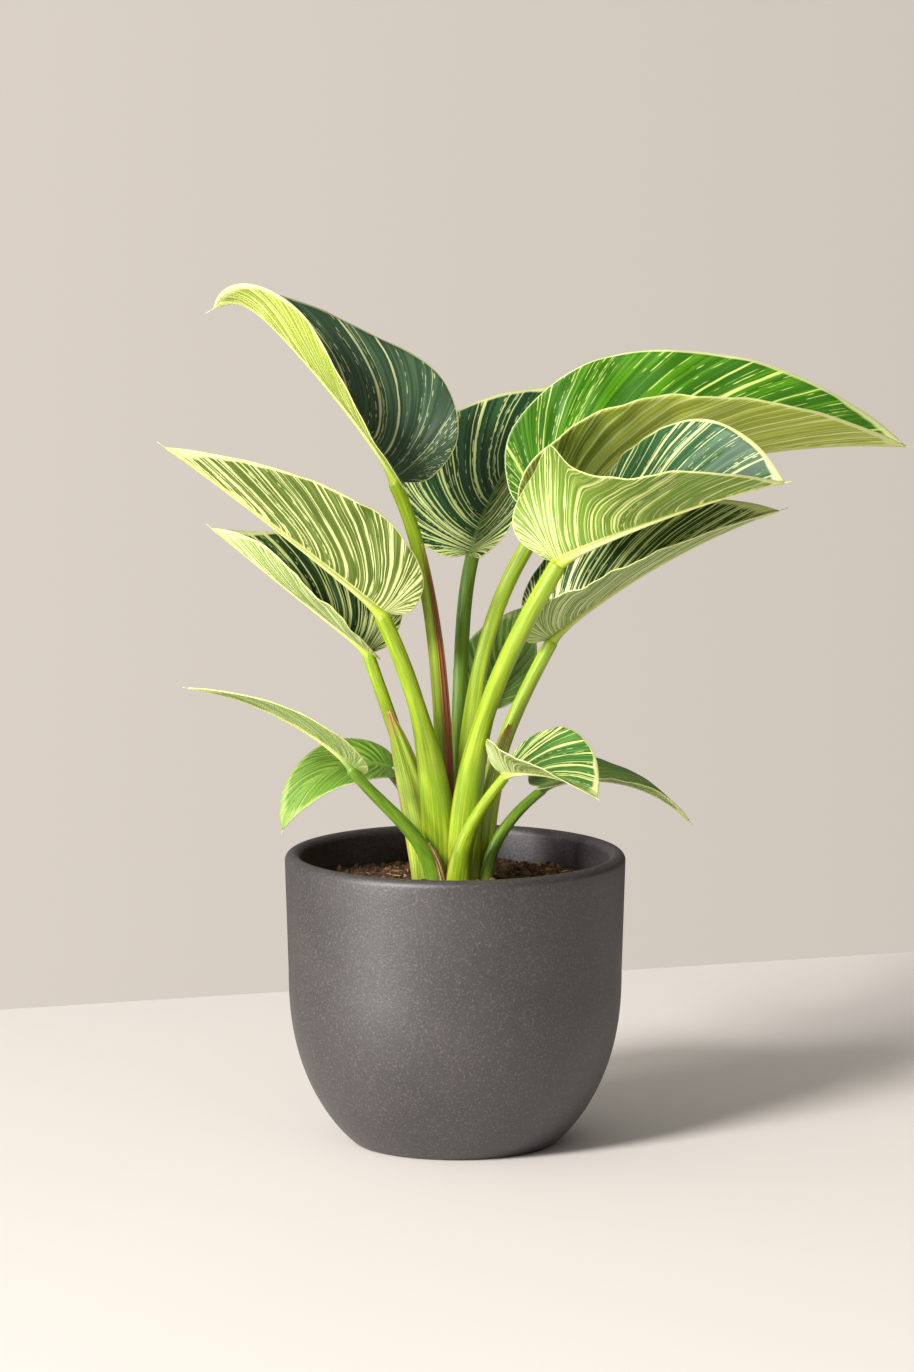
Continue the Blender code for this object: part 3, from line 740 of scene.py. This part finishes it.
# ---- Petioles ----
class Stem:
    """A petiole's centre line, thickness and the frame of its cross-sections."""

    def __init__(self, leaf):
        self.leaf = leaf
        across, deep = leaf.foot
        self.foot = np.array([across * CROWN_RADIUS, deep * CROWN_RADIUS, CROWN_TOP - STALK_DEPTH])
        self.pull = plant_point(leaf.pull)
        joint, _, _, up = Spine(leaf).at(0.0)
        self.seat = joint_centre(leaf, joint, up)
        self.lift = self.foot + UP * PETIOLE_LIFT * (self.seat[2] - self.foot[2])
        self.back = compass(leaf.facing)

    def point(self, t):
        a, b, c, d = self.foot, self.lift, self.pull, self.seat
        return a * (1 - t) ** 3 + 3 * b * t * (1 - t) ** 2 + 3 * c * t ** 2 * (1 - t) + d * t ** 3

    def frame(self, t):
        """The centre, the sideways direction, and the direction of the petiole's back."""
        along = unit(self.point(min(t + 0.004, 1.0)) - self.point(max(t - 0.004, 0.0)))
        back = unit(self.back - along * (self.back @ along))
        return self.point(t), np.cross(along, back), back

    def radius(self, t):
        foot = self.leaf.foot_radius * CROWN_RADIUS
        return foot + (rib_radius(self.leaf, 0.0) - foot) * t

    def wing(self, t):
        """How much wider than round the section is: the sheath's two wings."""
        end = self.leaf.sheath_end
        return 1 + (self.leaf.sheath - 1) * float(smooth(1 - (t / end) ** 1.6)) if t < end else 1.0

    def section(self, t, angle, narrow=1.0):
        """A point of the section: 0 and a half turn are the two wings, a quarter turn is the back."""
        centre, sideways, back = self.frame(t)
        radius = self.radius(t) * narrow
        wing = self.wing(t)
        wide = radius * wing
        opened = min((wing - 1) / 0.5, 1.0)
        sine = math.sin(angle)
        if sine >= 0:
            deep = radius * (1 + 0.10 * opened) * abs(sine) ** (1 - 0.1 * opened)
        else:
            deep = -radius * (0.92 - 0.80 * opened) * abs(sine) ** (1 + opened)
        groove = radius * 0.10 * (1 - opened) * math.exp(-((angle - 1.5 * math.pi) / 0.5) ** 2)
        return centre + sideways * math.cos(angle) * wide + back * (deep + groove)


def petiole_material(key, seed):
    # Each row: the first two are the petiole's own greens; the last colour is a painted highlight.
    colours = {
        "bright": (rgb(118, 152, 28), rgb(178, 200, 46), rgb(208, 216, 86)),
        "green": (rgb(82, 124, 30), rgb(132, 166, 44), rgb(164, 190, 70)),
    }
    low, high, painted_highlight = colours[key]
    shade = Shader("petiole_" + key)
    around, along = shade.uv("stem")
    grain = shade.streaks(around, 46.0, along, 3.0, seed, 3.0)
    patch = shade.streaks(around, 5.0, along, 5.0, seed, 2.0)
    tone = shade.times_plus(grain, 0.45, shade.times(patch, 0.6))
    colour = shade.mix(shade.between(tone, 0.34, 0.72), low, high)
    # Painted highlight: pale streaks along the grain stand for glints of the light.
    highlight_streaks = shade.between(grain, 0.58, 0.70)
    colour = shade.mix(shade.times(highlight_streaks, 0.5), colour, painted_highlight)
    foot = shade.between(along, 0.10, 0.0)
    colour = shade.mix(shade.times(foot, 0.55), colour, rgb(206, 206, 120))
    wing, fresh = shade.uv("wing")
    near = shade.between(wing, 0.30, 0.0)
    rose = shade.times(near, shade.times(fresh, 0.9))
    colour = shade.mix(rose, colour, rgb(176, 92, 62))
    shade.bump(grain, 0.25, 0.0005)
    gloss = shade.times_plus(patch, 0.14, 0.26)
    return shade.set(Base_Color=colour, Roughness=gloss, Specular_IOR_Level=0.45,
                     Coat_Weight=0.12, Coat_Roughness=0.3)


def make_petiole(leaf):
    stem = Stem(leaf)
    onward = unit(stem.point(1.0) - stem.point(0.99))
    lengths = [i / (PETIOLE_RINGS - 1) for i in range(PETIOLE_RINGS)]
    stops = [(t, 1.0, 0.0) for t in lengths] + [(1.0, narrow, reach) for narrow, reach in rounded_end()]
    verts = []
    chart = []
    wings = []
    for t, narrow, reach in stops:
        for k in range(PETIOLE_SIDES):
            turn = k / PETIOLE_SIDES
            angle = 2 * math.pi * k / PETIOLE_SIDES
            verts.append(stem.section(t, angle, narrow) + onward * stem.radius(1.0) * reach)
            chart.append((min(turn, 1 - turn) * 2, t))
            wings.append((abs(math.sin(angle)), min((stem.wing(t) - 1) * 2.2, 1.0)))
    faces = tube_faces(len(stops), PETIOLE_SIDES)
    layers = {"stem": chart, "wing": wings}
    add_piece("stalk_" + leaf.name, verts, faces, [STEMS[leaf.stem]], ["petiole_" + leaf.name],
              layers=layers)


# ---- Sheaths ----
@dataclass
class Sheath:
    """A papery sheath beside a petiole, from its foot to its free point. Widths in millimetres."""
    name: str
    host: str                 # the leaf whose petiole it stands beside
    start: float              # its two ends, in shares of that petiole
    end: float
    facing: float
    width: tuple              # the run of half-widths
    cup: float                # how far each half turns round the petiole, in radians
    flare: float              # how far its point stands off
    slot: str


SHEATHS = (
    Sheath("cataphyll_left", "lower_left", 0.0, 0.74, 278,
           ((0, 4.6), (0.25, 6.4), (0.5, 6.2), (0.72, 4.8), (0.9, 2.6), (1, 0.5)), 0.85, 2.0, "cataphyll"),
    Sheath("cataphyll_right", "lower_right", 0.0, 0.66, 262,
           ((0, 3.8), (0.3, 5.4), (0.6, 5.0), (0.85, 3.0), (1, 0.5)), 0.85, 2.0, "cataphyll"),
    Sheath("sheath_red", "top_left", 0.04, 0.80, 300,
           ((0, 1.4), (0.3, 1.9), (0.6, 1.5), (0.85, 0.8), (1, 0.2)), 0.50, 0.6, "sheath"),
    Sheath("bract_dry", "edge_left", 0.0, 0.36, 320,
           ((0, 1.6), (0.4, 1.9), (0.8, 1.0), (1, 0.3)), 0.70, 1.4, "bract"),
)


def sheath_material(key):
    looks = {
        "cataphyll": (rgb(132, 164, 44), rgb(192, 208, 78), rgb(216, 150, 110), 0.36),
        "sheath": (rgb(126, 62, 34), rgb(172, 98, 58), rgb(190, 182, 84), 0.42),
        "bract": (rgb(140, 108, 62), rgb(206, 178, 122), rgb(120, 78, 46), 0.75),
    }
    dark, light, tip, rough = looks[key]
    shade = Shader("papery_" + key)
    across, along = shade.uv("stem")
    lines = shade.streaks(across, 30.0, along, 2.2, 3.0, 3.0)
    colour = shade.mix(shade.between(lines, 0.36, 0.64), dark, light)
    ends = shade.between(along, 0.80, 1.0)
    rim, _ = shade.uv("wing")
    edge = shade.math("MAXIMUM", shade.between(rim, 0.16, 0.02), shade.times(ends, 0.9))
    colour = shade.mix(shade.times(edge, 0.8), colour, tip)
    shade.bump(lines, 0.35, 0.0005)
    gloss = shade.times_plus(lines, 0.2, rough - 0.1)
    return shade.set(Base_Color=colour, Roughness=gloss)


def make_sheath(sheath):
    host = Stem(next(leaf for leaf in LEAVES if leaf.name == sheath.host))
    towards = compass(sheath.facing)
    outer = []
    inner = []
    chart = []
    rims = []
    for i in range(SHEATH_ROWS):
        share = i / (SHEATH_ROWS - 1)
        t = sheath.start + (sheath.end - sheath.start) * share
        centre, sideways, back = host.frame(t)
        along = np.cross(back, sideways)
        middle = unit(towards - along * (towards @ along))
        beside = np.cross(along, middle)
        stand = host.radius(t) * host.wing(t) + SHEATH_STAND + sheath.flare * MM * share ** 1.6
        half = float(stations(sheath.width, share)) * MM
        bend = half / sheath.cup
        for j in range(SHEATH_COLUMNS + 1):
            across = 2 * j / SHEATH_COLUMNS - 1
            angle = sheath.cup * across
            rim = SHEATH_HALF_THICKNESS * (1 - 0.75 * abs(across) ** 3)
            crease = SHEATH_CREASE * math.sin(9 * across + 5 * share)
            direction = beside * math.sin(angle) + middle * math.cos(angle)
            place = centre + middle * (stand - bend + crease)
            outer.append(place + direction * (bend + rim))
            inner.append(place + direction * (bend - rim))
            chart.append((across * 0.5 + 0.5, share))
            rims.append((1 - abs(across), share))
    count = len(outer)
    wide = SHEATH_COLUMNS + 1
    outside = []
    for i in range(SHEATH_ROWS - 1):
        for j in range(SHEATH_COLUMNS):
            a = i * wide + j
            outside.append((a, a + 1, a + wide + 1, a + wide))
    faces = outside + [tuple(count + face[k] for k in (0, 3, 2, 1)) for face in outside]
    faces += [(a, count + a, count + b, b) for a, b in border(outside)]
    layers = {"stem": chart * 2, "wing": rims * 2}
    add_piece("papery_" + sheath.name, outer + inner, faces, [sheath_material(sheath.slot)],
              [sheath.name], layers=layers)


# ---- Pot ----
def bowl(foot_radius, belly_radius, low, high, steps):
    points = []
    for i in range(steps + 1):
        t = (i / steps) ** 1.6
        bulge = (1 - (1 - t) ** BOWL_FLATNESS) ** (1 / BOWL_BULGE)
        points.append((foot_radius + (belly_radius - foot_radius) * bulge, low + (high - low) * t))
    return points


def pot_hollow(steps):
    """The pot's inside, from its floor to the belly."""
    return bowl(POT_FOOT_RADIUS - POT_WALL, POT_BELLY_RADIUS - POT_WALL, POT_FLOOR, POT_BELLY_HEIGHT, steps)


def inner_radius(height):
    """The pot's inner radius on its wall above the belly."""
    low_radius = POT_BELLY_RADIUS - POT_WALL
    share = (height - POT_BELLY_HEIGHT) / (POT_HEIGHT - POT_WALL / 2 - POT_BELLY_HEIGHT)
    return low_radius + (POT_RIM_RADIUS - POT_WALL - low_radius) * share


def pot_material():
    shade = Shader("matt_stoneware")
    place = shade.place()
    cloud = shade.noise(place, 34.0, 4.0, 0.6)
    colour = shade.mix(shade.between(cloud, 0.3, 0.7), rgb(46, 42, 43), rgb(56, 51, 52))
    light = shade.between(shade.noise(place, 1150.0, 2.0, 0.6), 0.52, 0.68)
    colour = shade.mix(shade.times(light, 0.42), colour, rgb(112, 103, 101))
    dark = shade.between(shade.noise(place, 820.0, 2.0, 0.6), 0.54, 0.68)
    colour = shade.mix(shade.times(dark, 0.40), colour, rgb(34, 31, 31))
    grit = shade.noise(place, 1100.0, 3.0, 0.65)
    shade.bump(grit, 0.30, 0.0004)
    gloss = shade.times_plus(cloud, 0.12, 0.43)
    return shade.set(Base_Color=colour, Roughness=gloss, Specular_IOR_Level=1.0)


def foot_material():
    shade = Shader("bare_foot")
    place = shade.place()
    grain = shade.noise(place, 700.0, 4.0, 0.7)
    colour = shade.mix(shade.between(grain, 0.3, 0.7), rgb(92, 84, 79), rgb(120, 111, 104))
    shade.bump(grain, 0.3, 0.0004)
    return shade.set(Base_Color=colour, Roughness=0.85)


def make_pot():
    lip = POT_WALL / 2
    straight = POT_HEIGHT - lip - POT_BELLY_HEIGHT
    outside = bowl(POT_FOOT_RADIUS, POT_BELLY_RADIUS, 0.0, POT_BELLY_HEIGHT, 44)
    outside[0] = (POT_FOOT_RADIUS, FOOT_EASE)
    wall = [(POT_BELLY_RADIUS + (POT_RIM_RADIUS - POT_BELLY_RADIUS) * i / 12,
             POT_BELLY_HEIGHT + straight * i / 12) for i in range(1, 12)]
    rim = [(POT_RIM_RADIUS - lip + lip * math.cos(math.pi * i / 20),
            POT_HEIGHT - lip + lip * math.sin(math.pi * i / 20)) for i in range(21)]
    heights = [POT_HEIGHT - lip - straight * i / 10 for i in range(1, 10)]
    inside = [(inner_radius(height), height) for height in heights]
    inside += reversed(pot_hollow(16))
    profile = [*FOOT_RING, *outside, *wall, *rim, *inside]
    verts = [(0.0, 0.0, FOOT_RECESS)]
    for radius, height in profile:
        verts += ring_points(radius, height, POT_SIDES)
    verts.append((0.0, 0.0, POT_FLOOR))
    faces = turned_faces(len(profile), POT_SIDES)
    bare = len(FOOT_RING) * POT_SIDES
    slots = [1] * bare + [0] * (len(faces) - bare - 2 * POT_SIDES) + [1, 0] * POT_SIDES
    add_piece("round_pot", verts, faces, [pot_material(), foot_material()], ["pot"], slots)


# ---- Soil and crown ----
def soil_height(x, y):
    """The loose surface: low mounds, crumbs and grit."""
    at = Vector((x * 42, y * 42, 0.3))
    coarse = noise.noise(at) * 0.0011
    crumbs = noise.turbulence(Vector((x * 260, y * 260, 1.7)), 3, False) * 0.0016
    lift = 0.0008 * math.exp(-((math.hypot(x, y) - CROWN_RADIUS) / 0.008) ** 2)
    return SOIL_LEVEL + coarse + crumbs - 0.0009 + lift


def soil_material():
    shade = Shader("peat")
    place = shade.place()
    tint = shade.tree.nodes.new("ShaderNodeAttribute")
    tint.attribute_name = "tint"
    grain = shade.noise(place, 900.0, 4.0, 0.7)
    patch = shade.noise(place, 170.0, 3.0, 0.6)
    colour = shade.mix(shade.between(grain, 0.34, 0.66), rgb(44, 28, 18), rgb(102, 70, 46))
    colour = shade.mix(shade.times(shade.between(patch, 0.52, 0.72), 0.55), colour, rgb(140, 98, 62))
    share = tint.outputs["Fac"]
    colour = shade.mix(shade.between(share, 0.30, 0.62), colour, rgb(126, 84, 50))
    colour = shade.mix(shade.between(share, 0.66, 0.84), colour, rgb(176, 136, 84))
    colour = shade.mix(shade.between(share, 0.90, 1.0), colour, rgb(206, 182, 96))
    shade.bump(grain, 0.6, 0.0008)
    return shade.set(Base_Color=colour, Roughness=shade.times_plus(grain, 0.15, 0.82))


class Litter:
    """The soil's points, faces and tints, with loose bits added at random places."""

    def __init__(self, verts, faces):
        self.verts = verts
        self.faces = faces
        self.tints = [0.0] * len(verts)
        self.rng = np.random.default_rng(SEED)

    def place(self, reach):
        """A random place on the soil, or on the crown where it stands above it."""
        radius = reach * math.sqrt(self.rng.uniform(0.02, 1))
        angle = self.rng.uniform(0, 2 * math.pi)
        x, y = radius * math.cos(angle), radius * math.sin(angle)
        return x, y, max(soil_height(x, y), CROWN_TOP if radius < CROWN_RADIUS - 0.001 else 0.0)

    def tint_to_here(self, tint):
        self.tints += [tint] * (len(self.verts) - len(self.tints))

    def crumb(self, x, y, base):
        """A knobbly, squashed ball, turned at random."""
        rings, sides = 4, 8
        size = 0.0004 + 0.0011 * self.rng.uniform(0, 1) ** 2.2
        centre = np.array([x, y, base + size * 0.25])
        tint = self.rng.uniform(0, 0.9) ** 1.6
        turn = self.rng.uniform(0, 2 * math.pi)
        ahead = np.array([math.cos(turn), math.sin(turn), 0.0])
        beside = np.array([-math.sin(turn), math.cos(turn), 0.0])
        stretch = self.rng.uniform(0.6, 1.5, 3) * size
        self.faces += turned_faces(rings, sides, len(self.verts))
        self.verts.append(centre - stretch[2] * UP)
        for i in range(1, rings + 1):
            polar = math.pi * i / (rings + 1)
            for x, y, z in ring_points(math.sin(polar), -math.cos(polar), sides):
                x, y, z = stretch * (x, y, z) * self.rng.uniform(0.74, 1.14)
                self.verts.append(centre + x * ahead + y * beside + z * UP)
        self.verts.append(centre + stretch[2] * UP)
        self.tint_to_here(tint)

    def fibre(self, x, y, base):
        """A thin bent root or straw."""
        rings, sides = 7, 5
        length = self.rng.uniform(0.002, 0.0055)
        thick = self.rng.uniform(0.00012, 0.0003)
        tint = self.rng.uniform(0.45, 1.0)
        heading = self.rng.uniform(0, 2 * math.pi)
        bend = self.rng.uniform(-1.6, 1.6)
        tilt = self.rng.uniform(-0.1, 0.35)
        at = np.array([x, y, base + 0.0004])
        self.faces += tube_faces(rings, sides, len(self.verts))
        for i in range(rings):
            share = i / (rings - 1)
            angle = heading + bend * share
            along = np.array([math.cos(angle), math.sin(angle), tilt * (1 - 2 * share)])
            sideways = np.array([-math.sin(angle), math.cos(angle), 0.0])
            radius = thick * (1 - 0.7 * abs(2 * share - 1) ** 3)
            for k in range(sides):
                around = 2 * math.pi * k / sides
                self.verts.append(at + (sideways * math.cos(around) + UP * math.sin(around)) * radius)
            at = at + along * length / (rings - 1)
        self.tint_to_here(tint)


def make_soil():
    outer = inner_radius(SOIL_LEVEL) - TOUCH_GAP
    levels = [(radius - TOUCH_GAP * 1.5, height + TOUCH_GAP) for radius, height in pot_hollow(8)]
    levels.append((outer, SOIL_LEVEL - 0.002))
    verts = [(0.0, 0.0, POT_FLOOR + TOUCH_GAP)]
    for radius, height in levels:
        verts += ring_points(radius, height, SOIL_SIDES)
    for i in range(SOIL_RINGS):
        for x, y, _ in ring_points(outer * (1 - i / SOIL_RINGS), 0.0, SOIL_SIDES):
            verts.append((x, y, soil_height(x, y)))
    verts.append((0.0, 0.0, SOIL_LEVEL))
    litter = Litter(verts, turned_faces(len(levels) + SOIL_RINGS, SOIL_SIDES))
    for _ in range(CRUMBS):
        litter.crumb(*litter.place(outer - 0.002))
    for _ in range(FIBRES):
        litter.fibre(*litter.place(outer - 0.006))
    add_piece("loose_soil", litter.verts, litter.faces, [soil_material()], ["soil"],
              tints=litter.tints)


def crown_material():
    shade = Shader("crown_bark")
    place = shade.place()
    grain = shade.noise(place, 420.0, 4.0, 0.7)
    moss = shade.noise(place, 120.0, 3.0, 0.6)
    colour = shade.mix(shade.between(grain, 0.32, 0.68), rgb(58, 38, 24), rgb(120, 90, 56))
    colour = shade.mix(shade.times(shade.between(moss, 0.5, 0.72), 0.6), colour, rgb(116, 120, 52))
    shade.bump(grain, 0.6, 0.0008)
    return shade.set(Base_Color=colour, Roughness=0.88)


def make_crown():
    """The short stem: knobbly, and level on top where the petioles stand."""
    low = SOIL_LEVEL - 0.0155
    verts = [(0.0, 0.0, low)]
    for i in range(CROWN_RINGS):
        share = i / (CROWN_RINGS - 1)
        if share < 0.6:
            height = low + (CROWN_TOP - CROWN_EASE - low) * share / 0.6
            radius = CROWN_RADIUS * (0.8 + 0.17 * min(share / 0.2, 1.0))
        else:
            inward = (share - 0.6) / 0.4
            height = CROWN_TOP - CROWN_EASE * (1 - inward) ** 2
            radius = CROWN_RADIUS * 0.97 * (1 - inward * 0.98)
        for x, y, z in ring_points(1.0, height, CROWN_SIDES):
            at = radius * (1 + 0.025 * noise.noise(Vector((x * 3, y * 3, z * 500))))
            verts.append((at * x, at * y, z))
    verts.append((0.0, 0.0, CROWN_TOP))
    faces = turned_faces(CROWN_RINGS, CROWN_SIDES)
    add_piece("short_stem", verts, faces, [crown_material()], ["crown"])


# ---- Stage ----
def make_table():
    """A plain pale floor, which ends on a slanted line behind the pot."""
    shade = Shader("pale_table")
    spread = shade.noise(shade.place(), 3.0)
    material = shade.set(Base_Color=shade.mix(spread, rgb(238, 231, 225), rgb(242, 236, 230)), Roughness=0.8)
    mesh = bpy.data.meshes.new("table")
    mesh.from_pydata(TABLE, [], [(0, 1, 2, 3)])
    mesh.materials.append(material)
    made = bpy.data.objects.new("table", mesh)
    bpy.context.scene.collection.objects.link(made)


def area_light(name, place, aim, size, power):
    lamp = bpy.data.lights.new(name, "AREA")
    lamp.shape = "DISK"
    lamp.size = size
    lamp.energy = power
    lamp.color = LAMP_COLOUR
    made = bpy.data.objects.new(name, lamp)
    made.location = place
    made.rotation_euler = (Vector(aim) - Vector(place)).to_track_quat("-Z", "Y").to_euler()
    bpy.context.scene.collection.objects.link(made)


def make_world():
    """A dim room, brighter on the key light's side; the camera alone sees a pale background, with painted
    shade.
    """
    world = bpy.data.worlds.new("soft_room")
    world.use_nodes = True
    shade = Nodes(world.node_tree)
    towards = shade.node("TexCoord").outputs["Generated"]
    facing = shade.make("VectorMath", operation="DOT_PRODUCT")
    shade.put_all(facing, (towards, unit(BRIGHT_SIDE)))
    strength = shade.between(facing.outputs["Value"], -0.7, 0.9, *ROOM_STRENGTH)
    room = shade.put_all(shade.tree.nodes["Background"], (rgb(250, 246, 240), strength))
    # Painted shade: the camera's background goes darker from the left to the right, as the light falls off.
    sideways = shade.node("SeparateXYZ", Vector=towards).outputs["X"]
    share = shade.between(sideways, -0.06, 0.07, step="LINEAR")
    backdrop_with_painted_shade = shade.node("Background", Color=shade.mix(share, rgb(219, 209, 199), rgb(206, 197, 187)))
    seen = shade.node("LightPath").outputs["Is Camera Ray"]
    either = shade.put_all(shade.make("MixShader"), (seen, room, backdrop_with_painted_shade.outputs["Background"]))
    shade.put(shade.tree.nodes["World Output"].inputs["Surface"], either)
    bpy.context.scene.world = world


def make_camera():
    eye = bpy.data.cameras.new("camera")
    eye.lens = CAMERA_LENS
    eye.sensor_width = 36
    eye.clip_start = 0.1
    eye.clip_end = 50
    camera = bpy.data.objects.new("camera", eye)
    camera.location = CAMERA_PLACE
    camera.rotation_euler = (math.radians(90 - CAMERA_DIP), 0, 0)
    bpy.context.scene.collection.objects.link(camera)
    bpy.context.scene.camera = camera


def make_stage():
    make_table()
    for name, place, aim, size, power in LAMPS:
        area_light(name, place, aim, size, power)
    make_world()
    make_camera()
    bpy.context.scene.view_settings.view_transform = "Standard"


# ---- The whole scene ----
MARGIN = margin_material()
RIBS = {"bright": rib_material("bright"), "green": rib_material("green")}
STEMS = {"bright": petiole_material("bright", 2.0), "green": petiole_material("green", 5.0)}

make_stage()
make_pot()
make_soil()
make_crown()
for number, leaf in enumerate(LEAVES):
    make_petiole(leaf)
    make_blade(leaf, 3.7 * number + 1.3)
for sheath in SHEATHS:
    make_sheath(sheath)
